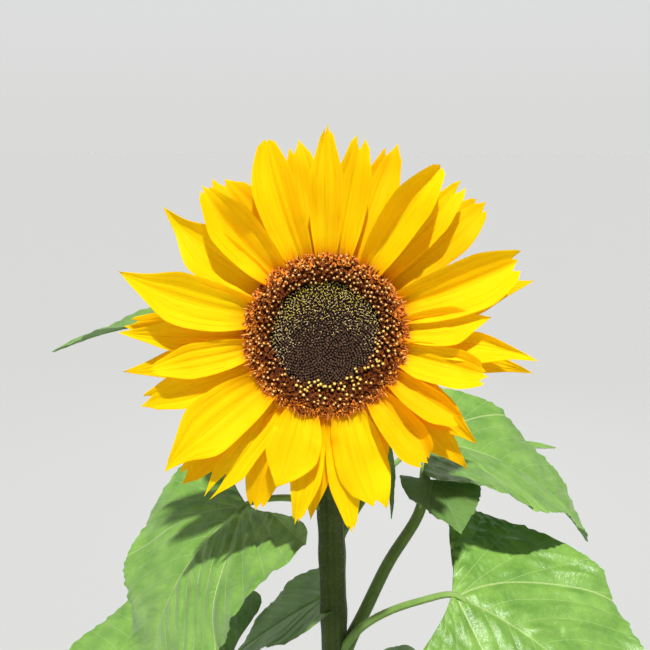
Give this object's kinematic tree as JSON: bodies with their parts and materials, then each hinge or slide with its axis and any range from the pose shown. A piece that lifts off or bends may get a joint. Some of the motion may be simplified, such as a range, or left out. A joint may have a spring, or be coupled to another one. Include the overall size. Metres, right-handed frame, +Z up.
{
  "type": "sunflower plant",
  "caption": "Tall rooted sunflower plant: wide golden head facing forward, dark seed disc, heart-shaped leaves on long stalks and a side shoot, cut flat at the ground.",
  "frame": {"origin": "centre of the stem's flat cut at ground level", "axes": "+Z up along the stem, -Y the way the flower head faces, +X to the right of a viewer who looks at the head's face"},
  "size_m": [0.5187, 0.5404, 1.4233],
  "materials": {
    "stem": "olive-green hairy stalk with fine ridges",
    "leaf": "matt mid-green leaf, rough, paler at the veins",
    "bract": "matt green, finely hairy",
    "ray": "golden yellow, fine lengthwise grooves",
    "disc": "dark brown closed florets with yellow-green tips",
    "floret": "rust-brown open florets with cream pollen"
  },
  "bodies": {
    "root": {"main_stem": "stem", "side_shoot": "stem", "receptacle": "bract", "flower_disc": "disc", "floret_ring": "floret", "ray_floret_01": "ray", "ray_floret_02": "ray", "ray_floret_03": "ray", "ray_floret_04": "ray", "ray_floret_05": "ray", "ray_floret_06": "ray", "ray_floret_07": "ray", "ray_floret_08": "ray", "ray_floret_09": "ray", "ray_floret_10": "ray", "ray_floret_11": "ray", "ray_floret_12": "ray", "ray_floret_13": "ray", "ray_floret_14": "ray", "ray_floret_15": "ray", "ray_floret_16": "ray", "ray_floret_17": "ray", "ray_floret_18": "ray", "ray_floret_19": "ray", "ray_floret_20": "ray", "ray_floret_21": "ray", "ray_floret_22": "ray", "ray_floret_23": "ray", "ray_floret_24": "ray", "ray_floret_25": "ray", "ray_floret_26": "ray", "ray_floret_27": "ray", "ray_floret_28": "ray", "ray_floret_29": "ray", "ray_floret_30": "ray", "ray_floret_31": "ray", "ray_floret_32": "ray", "ray_floret_33": "ray", "ray_floret_34": "ray", "ray_floret_35": "ray", "ray_floret_36": "ray", "ray_floret_37": "ray", "leaf_left_front": "leaf", "leaf_left_low": "leaf", "leaf_left_shaded": "leaf", "leaf_right_front": "leaf", "leaf_left_arching": "leaf", "leaf_right_narrow": "leaf", "leaf_small_hanging": "leaf", "shoot_leaf_outer": "leaf", "shoot_leaf_inner": "leaf", "leaf_lower_01": "leaf", "leaf_lower_02": "leaf", "leaf_lower_03": "leaf", "leaf_lower_04": "leaf", "leaf_lower_05": "leaf", "leaf_lower_06": "leaf", "leaf_lower_07": "leaf", "leaf_lower_08": "leaf"}
  },
  "joints": []
}
